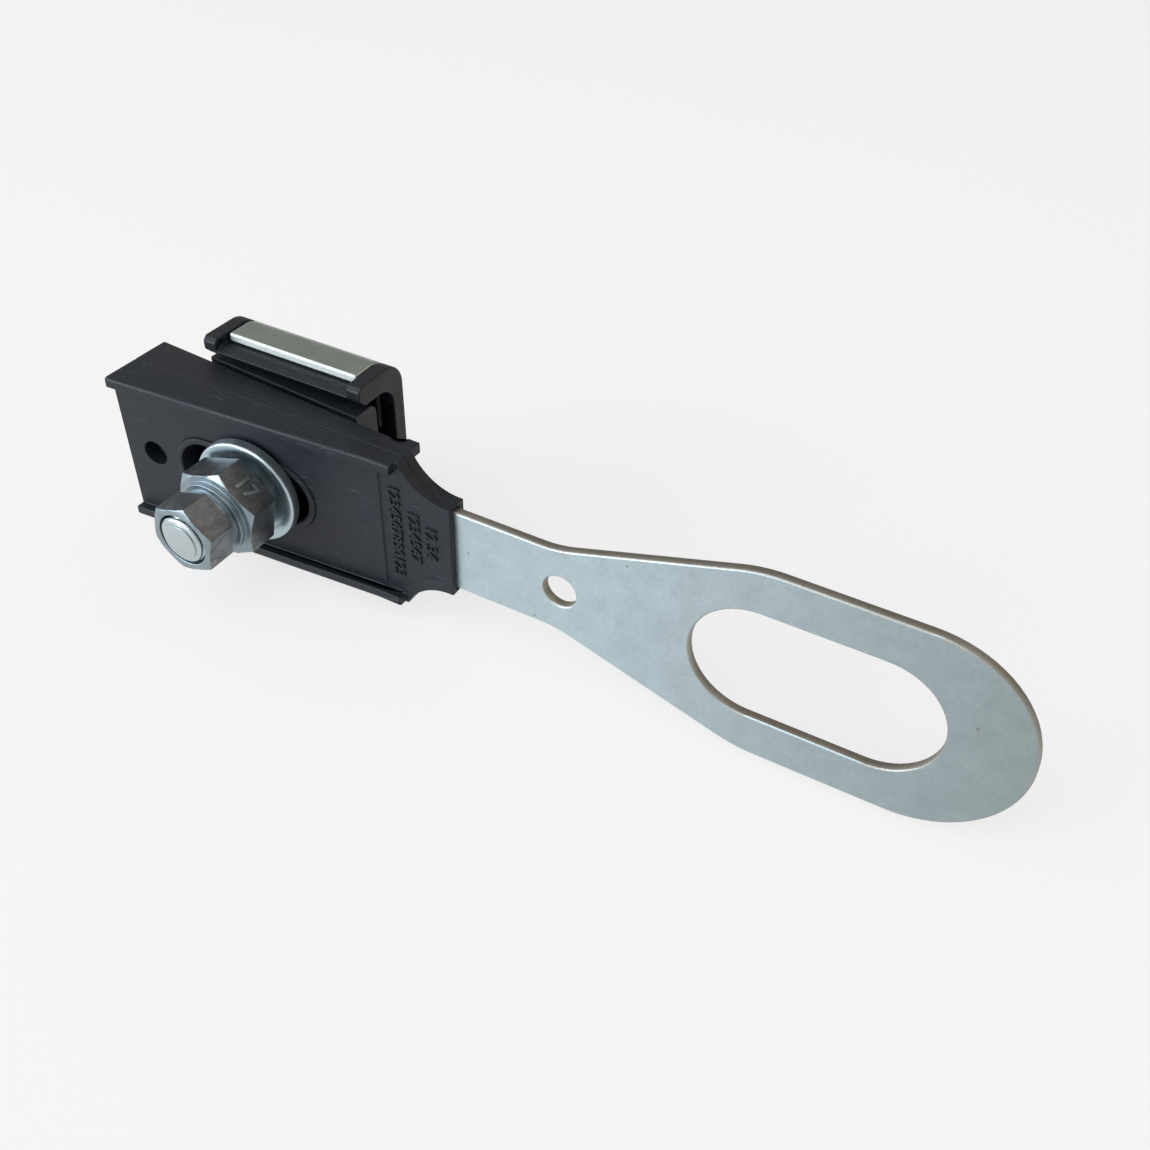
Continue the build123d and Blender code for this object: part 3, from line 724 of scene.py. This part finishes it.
def grip_ridges(name, stations, path, rise, node):
    """Ridges across X: path lists (y, z) on the wall with the direction that rises from it."""
    build = bmesh.new()
    for station in stations:
        for side in (1, -1):
            rows = []
            for y, z, rise_y, rise_z in path:
                row = []
                for across, height in ridge_section:
                    row.append(build.verts.new(((bolt_x + station + across * grip_width) * mm,
                                                (y + rise_y * rise * height) * mm,
                                                side * (z + rise_z * rise * height) * mm)))
                rows.append(row)
            for first, second in zip(rows, rows[1:]):
                for j in range(len(ridge_section) - 1):
                    build.faces.new((first[j], second[j], second[j + 1], first[j + 1]))
            build.faces.new(rows[0])
            build.faces.new(rows[-1])
    return riding_piece(closed_mesh(build, name, jaw_polyamide, 50), node)


corner_y = jaw_floor_y - jaw_corner_r
corner_z = jaw_roof_z - jaw_corner_r
outer_path = [(jaw_floor_y, grip_start_z, -1.0, 0.0), (jaw_floor_y, corner_z, -1.0, 0.0)]
for degrees in (15, 30, 45, 60, 75, 90):
    turn = math.radians(degrees)
    ease = 1 - 0.65 * degrees / 90
    outer_path.append((corner_y + jaw_corner_r * math.cos(turn), corner_z + jaw_corner_r * math.sin(turn),
                       -ease * math.cos(turn), -ease * math.sin(turn)))
outer_path.append((jaw_lip_under_y + 2.5, jaw_roof_z, 0.0, -0.35))
inner_path = [(inner_back_y, grip_start_z, 1.0, 0.0), (inner_back_y, inner_half_z - 0.6, 1.0, 0.0)]
outer_stations = [grip_pitch * (i - (grip_count - 1) / 2) for i in range(grip_count)]
inner_stations = [grip_pitch * (i - (grip_count - 2) / 2) for i in range(grip_count - 1)]
grip_ridges("outer_jaw_grip_ridges", outer_stations, outer_path, grip_rise, "outer_jaw")
grip_ridges("inner_jaw_grip_ridges", inner_stations, inner_path, grip_rise * 0.6, "inner_jaw")
print("grip ridges:", 2 * (len(outer_stations) + len(inner_stations)))

# %% [markdown]
# The label panel moulded into the body carries three lines of plain raised digits. They read downwards
# when the strap points to the right, so a line's X runs along -Z and its upright runs along +X. The wrench
# hexagon carries a plain number too, its width in millimetres, and the raised faces are worn bright.
# Blender's text objects give good digits, and turning them into a mesh makes them part of the export.

# %% Raised digits
# The height of a digit is this share of the text's size.
digit_share = 0.72


def raised_digits(name, digits, height_mm, place, finish, node):
    """Raised digits as a mesh: place is the matrix of the line's centre."""
    curve = bpy.data.curves.new(name + "_line", "FONT")
    curve.body = digits
    curve.size = height_mm * mm / digit_share
    curve.align_x = "CENTER"
    curve.align_y = "CENTER"
    curve.extrude = digit_rise / 2 * mm
    curve.bevel_depth = 0.05 * mm
    curve.bevel_resolution = 1
    curve.resolution_u = 4
    line = bpy.data.objects.new(name + "_line", curve)
    bpy.context.scene.collection.objects.link(line)
    bpy.context.view_layer.update()
    mesh = bpy.data.meshes.new_from_object(line.evaluated_get(bpy.context.evaluated_depsgraph_get()))
    bpy.data.objects.remove(line)
    mesh.name = name
    mesh.transform(place)
    mesh.materials.clear()
    mesh.materials.append(finish)
    return riding_piece(mesh, node)


reading_down = Matrix(((0, 1, 0, 0), (0, 0, -1, 0), (-1, 0, 0, 0), (0, 0, 0, 1)))
digit_y = (panel_floor_y - digit_rise / 2) * mm
panel_lines = [("12 34", -73.9, 0.6, 2.5), ("1234567", -77.6, 0.6, 2.5), ("1234567890123", -81.6, 0.2, 2.4)]
for number, (digits, line_x, line_z, height) in enumerate(panel_lines, 1):
    place = Matrix.Translation((line_x * mm, digit_y, line_z * mm)) @ reading_down
    raised_digits(f"panel_digits_{number}", digits, height, place,
                  body_polyamide, "front_shell")
print("digit lines on the panel:", len(panel_lines))

# %% Number on the nut
flat_degrees_up = 48
nut_digit_height = 3.4
flat_turn = math.radians(flat_degrees_up)
flat_right = Vector((math.sin(flat_turn), 0, -math.cos(flat_turn)))
flat_out = Vector((math.cos(flat_turn), 0, math.sin(flat_turn)))
flat_mark = Matrix.Identity(4)
for row in range(3):
    flat_mark[row][0] = flat_right[row]
    flat_mark[row][1] = (0, 1, 0)[row]
    flat_mark[row][2] = flat_out[row]
    flat_mark[row][3] = (bolt_x * mm, nut_mark_y * mm, 0)[row] + flat_out[row] * (nut_flat_r * mm)
nut_digits = raised_digits("nut_digits", "17", nut_digit_height, flat_mark,
                           nut_faced, "shear_nut")
print("number on the nut:", len(nut_digits.data.polygons), "faces")

# %% [markdown]
# The camera stands where the photograph was taken from: above, in front and to the right, close enough
# for a clear perspective. Its place, angles and lens were solved from the strap's outline, the eye, the
# tie hole, both hexagons and corners of the body and the jaw. The small shift puts the picture's centre
# where it is in the photograph. Blender gives the shift as a share of the picture's width.

# %% Camera
image_px = 1150
focal_px = 1204.81
centre_px = (590.56, 546.48)
camera = bpy.data.cameras.new("camera")
camera.sensor_width = 36.0
camera.lens = camera.sensor_width * focal_px / image_px
camera.shift_x = (image_px / 2 - centre_px[0]) / image_px
camera.shift_y = (centre_px[1] - image_px / 2) / image_px
camera.clip_start = 0.005
camera.clip_end = 20.0
camera_object = bpy.data.objects.new("camera", camera)
camera_object.location = (29.57 * mm, -140.32 * mm, 141.81 * mm)
camera_object.rotation_euler = [math.radians(a) for a in (50.4757, -1.8799, 28.5712)]
bpy.context.scene.collection.objects.link(camera_object)
bpy.context.scene.camera = camera_object
print("lens", round(camera.lens, 2), "mm")

# %% [markdown]
# The stage is a plain pale floor in a plain room. The floor is near white to the camera and in
# reflections, through Light Path, and its diffuse share keeps a soft shadow under the clamp. The world is
# brighter and cooler in front and greyer and warmer behind, as in a room with one window.

# %% Floor
floor_z = cad_low.z - 0.1 * mm
floor_reach = 3
floor_corners = [(x * floor_reach, y * floor_reach, floor_z) for x, y in ((-1, -1), (1, -1), (1, 1), (-1, 1))]
floor_mesh = bpy.data.meshes.new("floor")
floor_mesh.from_pydata(floor_corners, [], [(0, 1, 2, 3)])
floor = bpy.data.objects.new("floor", floor_mesh)
bpy.context.scene.collection.objects.link(floor)
print("floor at", round(floor_z / mm, 1), "mm")

# %% Floor paint
glow_share = 0.78
glow_strength = 1.05
floor_paint = bpy.data.materials.new("pale_floor")
floor_paint.use_nodes = True
tree = floor_paint.node_tree
tree.nodes.clear()
path = add_node(tree, "ShaderNodeLightPath")
seen = add_node(tree, "ShaderNodeMath", {"operation": "MAXIMUM"},
                {0: path.outputs["Is Camera Ray"], 1: path.outputs["Is Glossy Ray"]})
seen = add_node(tree, "ShaderNodeMath", {"operation": "MAXIMUM"},
                {0: seen.outputs["Value"], 1: path.outputs["Is Transmission Ray"]})
even = add_node(tree, "ShaderNodeMath", {"operation": "MULTIPLY", 1: glow_share},
                {0: seen.outputs["Value"]})
matt = add_node(tree, "ShaderNodeBsdfDiffuse", {"Color": linear("#ececec")})
plain = add_node(tree, "ShaderNodeEmission", {"Color": linear("#f2f2f2"), "Strength": glow_strength})
mixed = add_node(tree, "ShaderNodeMixShader",
                 links={0: even.outputs["Value"], 1: matt.outputs["BSDF"], 2: plain.outputs["Emission"]})
add_node(tree, "ShaderNodeOutputMaterial", links={"Surface": mixed.outputs["Shader"]})
floor_mesh.materials.append(floor_paint)
print("floor paint:", floor_paint.name)

# %% [markdown]
# The room is the world's light. Its brightness follows the direction that a ray looks in, from a grey
# wall behind the clamp to a bright one in front. To the camera it is the plain pale backdrop, and metal
# sees a small share of that backdrop too.

# %% Room light
mirrored_share = 0.15
world = bpy.data.worlds.new("room")
world.use_nodes = True
bpy.context.scene.world = world
tree = world.node_tree
tree.nodes.clear()
direction = add_node(tree, "ShaderNodeTexCoord").outputs["Generated"]
facing = add_node(tree, "ShaderNodeVectorMath", {"operation": "DOT_PRODUCT", 1: (-0.45, -0.8, -0.25)},
                  {0: direction})
brightness = add_node(tree, "ShaderNodeMapRange", {"From Min": -0.6, "From Max": 0.9},
                      {"Value": facing.outputs["Value"]})
room = add_node(tree, "ShaderNodeMix", {"data_type": "RGBA", 6: linear("#97938c"), 7: linear("#f4f8ff")},
                {0: brightness.outputs["Result"]})
path = add_node(tree, "ShaderNodeLightPath")
glossy = add_node(tree, "ShaderNodeMath", {"operation": "MULTIPLY", 1: mirrored_share},
                  {0: path.outputs["Is Glossy Ray"]})
seen = add_node(tree, "ShaderNodeMath", {"operation": "MAXIMUM"},
                {0: path.outputs["Is Camera Ray"], 1: path.outputs["Is Transmission Ray"]})
seen = add_node(tree, "ShaderNodeMath", {"operation": "MAXIMUM"},
                {0: seen.outputs["Value"], 1: glossy.outputs["Value"]})
shown = add_node(tree, "ShaderNodeMix", {"data_type": "RGBA", 7: linear("#f2f2f2")},
                 {0: seen.outputs["Value"], 6: room.outputs[2]})
sky = add_node(tree, "ShaderNodeBackground", {"Strength": 1.0}, {"Color": shown.outputs[2]})
add_node(tree, "ShaderNodeOutputWorld", links={"Surface": sky.outputs["Background"]})
print("world:", world.name)

# %% [markdown]
# Three square area lamps stand for the openings of the room. A large cool window to the left and in front
# lights the nut's end and draws the pale lines along the strap's edges. A weak ceiling lamp fills from
# above, and a weaker warm doorway behind gives the far edges a little light.

# %% Lamps
def soft_lamp(name, place, target, size, power, colour):
    """A square area lamp that looks at a target, in metres."""
    lamp = bpy.data.lights.new(name, "AREA")
    lamp.shape = "SQUARE"
    lamp.size = size
    lamp.energy = power
    lamp.color = linear(colour)[:3]
    lamp_object = bpy.data.objects.new(name, lamp)
    lamp_object.location = place
    lamp_object.rotation_mode = "QUATERNION"
    lamp_object.rotation_quaternion = (Vector(target) - Vector(place)).to_track_quat("-Z", "Y")
    bpy.context.scene.collection.objects.link(lamp_object)
    return lamp_object


clamp_middle = (-0.08, 0.0, 0.0)
window = soft_lamp("window", (-0.9, -1.0, 0.3), clamp_middle, 0.87, 18.0, "#eaf3ff")
ceiling = soft_lamp("ceiling", (-0.1, -0.5, 0.8), clamp_middle, 0.6, 3.0, "#ffffff")
doorway = soft_lamp("doorway", (0.55, 0.65, 0.75), clamp_middle, 0.8, 1.4, "#fff0df")
print("lamps:", window.name, ceiling.name, doorway.name)

# %% [markdown]
# The Standard view shows each colour about as it is written.

bpy.context.scene.view_settings.view_transform = "Standard"
